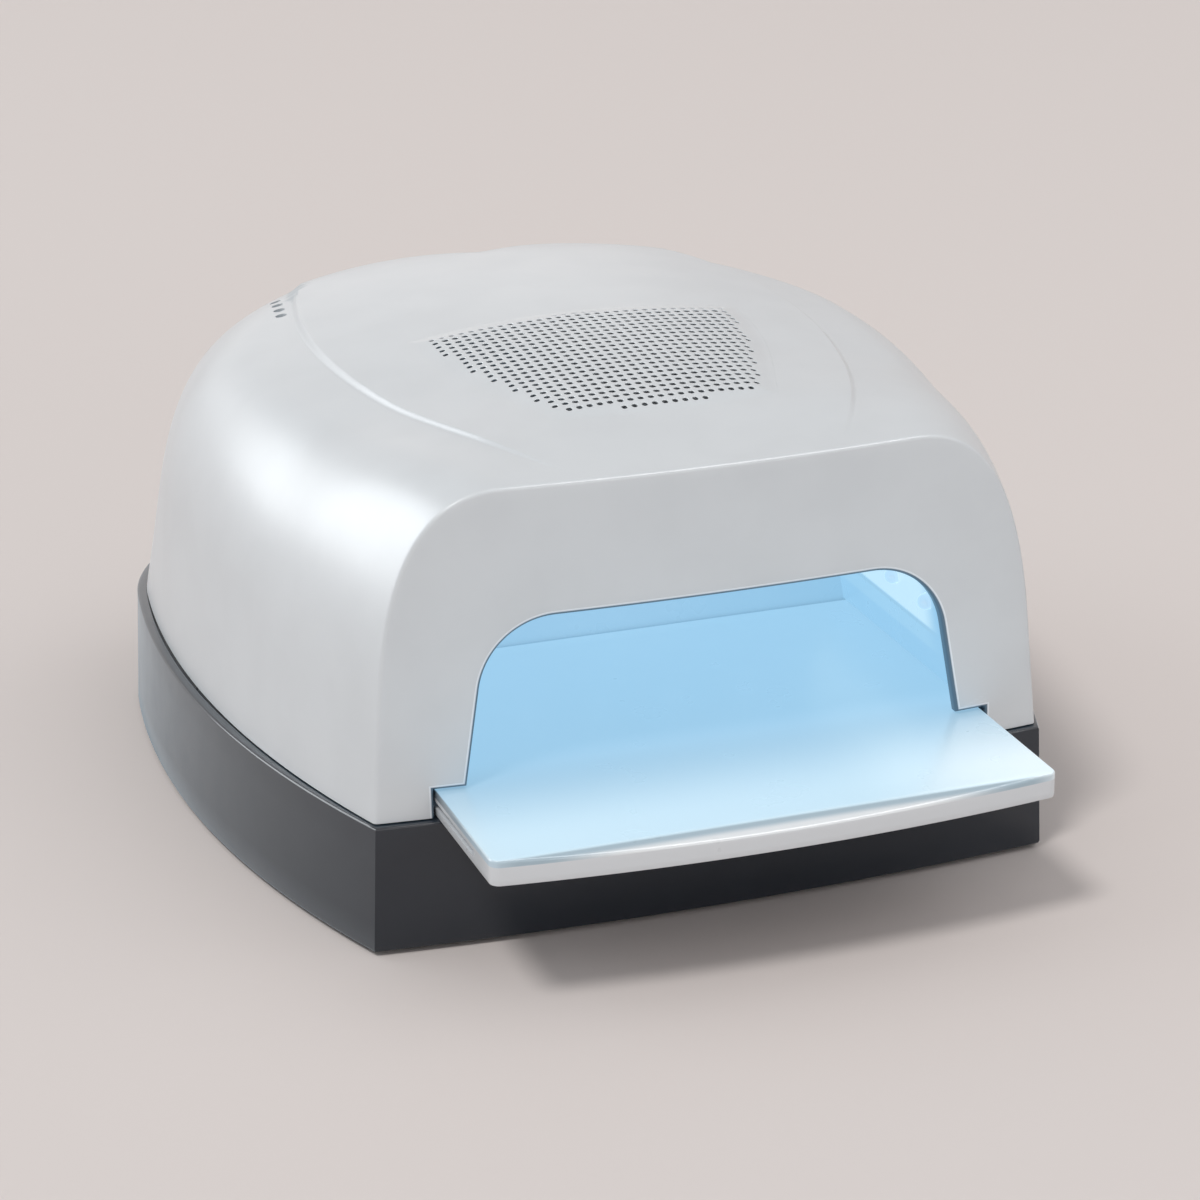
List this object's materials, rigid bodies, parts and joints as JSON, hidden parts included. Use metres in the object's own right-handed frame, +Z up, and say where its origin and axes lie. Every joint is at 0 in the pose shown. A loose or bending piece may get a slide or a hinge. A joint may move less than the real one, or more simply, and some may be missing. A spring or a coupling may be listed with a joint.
{
  "type": "uv nail lamp",
  "caption": "Domed table lamp that cures nail gel: pearl shell with a perforated vent, dark base, arched lit hand chamber, slide-out hand tray, rear buttons and a power switch.",
  "frame": {"origin": "middle of the whole lamp's box, on the table, under the chamber's rear wall", "axes": "+X to the right for the person whose hand goes in, +Y to the rear, away from the opening, +Z up"},
  "size_m": [0.25, 0.3204, 0.1403],
  "materials": {
    "shell": "pearl white, satin gloss",
    "base": "dark grey, satin gloss",
    "base_inner": "dark grey, matte",
    "foot": "black rubber",
    "tray": "white, satin gloss",
    "guide": "dark grey, matte",
    "reflector": "pale, lit blue",
    "led_board": "white circuit board",
    "led": "clear lamp lenses",
    "heat_sink": "bare aluminium",
    "fan": "black, matte",
    "bezel": "dark grey, gloss",
    "button": "pearl white, satin gloss",
    "button_start": "light blue, satin gloss",
    "light_pipe": "clear",
    "circuit_board": "green circuit board",
    "black_part": "black, matte",
    "brass": "plain brass",
    "screw": "zinc plated",
    "rocker": "red, satin gloss"
  },
  "bodies": {
    "housing": {"outer_shell": "shell", "vent_grille": "shell", "base_frame": "base", "bottom_plate": "base_inner", "chassis_deck": "base_inner", "rubber_feet": "foot", "tray_guide_left": "guide", "tray_guide_right": "guide", "reflector_arch": "reflector", "reflector_rear": "reflector", "led_board_top": "led_board", "led_board_left": "led_board", "led_board_right": "led_board", "led_board_rear": "led_board", "leds_top": "led", "leds_left": "led", "leds_right": "led", "leds_rear": "led", "heat_sink": "heat_sink", "fan_frame": "fan", "control_bezel": "bezel", "light_pipes": "light_pipe", "button_board": "circuit_board", "tact_switches": "black_part", "main_board": "circuit_board", "board_parts": "black_part", "board_standoffs": "brass", "board_screws": "screw", "rear_panel": "black_part", "power_inlet": "black_part", "switch_housing": "black_part", "base_screws": "screw", "deck_screws": "screw", "shell_screws": "screw"},
    "tray": {"hand_tray": "tray"},
    "button_a": {"timer_button_a": "button"},
    "button_b": {"timer_button_b": "button"},
    "button_c": {"timer_button_c": "button"},
    "button_start": {"start_button": "button_start"},
    "rocker": {"switch_rocker": "rocker"},
    "rotor": {"fan_rotor": "fan"}
  },
  "joints": [
    {"name": "tray_slide", "type": "slide", "parent": "housing", "child": "tray", "axis": [0, -1, 0], "range_m": [0, 0.11]},
    {"name": "button_a_press", "type": "slide", "parent": "housing", "child": "button_a", "axis": [0, -0.8029, -0.5961], "range_m": [0, 0.001], "stiffness_N_per_m": 250},
    {"name": "button_b_press", "type": "slide", "parent": "housing", "child": "button_b", "axis": [0, -0.8029, -0.5961], "range_m": [0, 0.001], "stiffness_N_per_m": 250},
    {"name": "button_c_press", "type": "slide", "parent": "housing", "child": "button_c", "axis": [0, -0.8029, -0.5961], "range_m": [0, 0.001], "stiffness_N_per_m": 250},
    {"name": "start_button_press", "type": "slide", "parent": "housing", "child": "button_start", "axis": [0, -0.8029, -0.5961], "range_m": [0, 0.001], "stiffness_N_per_m": 250},
    {"name": "rocker_tilt", "type": "hinge", "parent": "housing", "child": "rocker", "pos_m": [0.016, 0.15305, 0.0193], "axis": [1, 0, 0], "range_deg": [0, 16]},
    {"name": "fan_spin", "type": "hinge", "parent": "housing", "child": "rotor", "pos_m": [0, -0.04575, 0.1176], "axis": [0, 0, 1], "continuous": true}
  ]
}
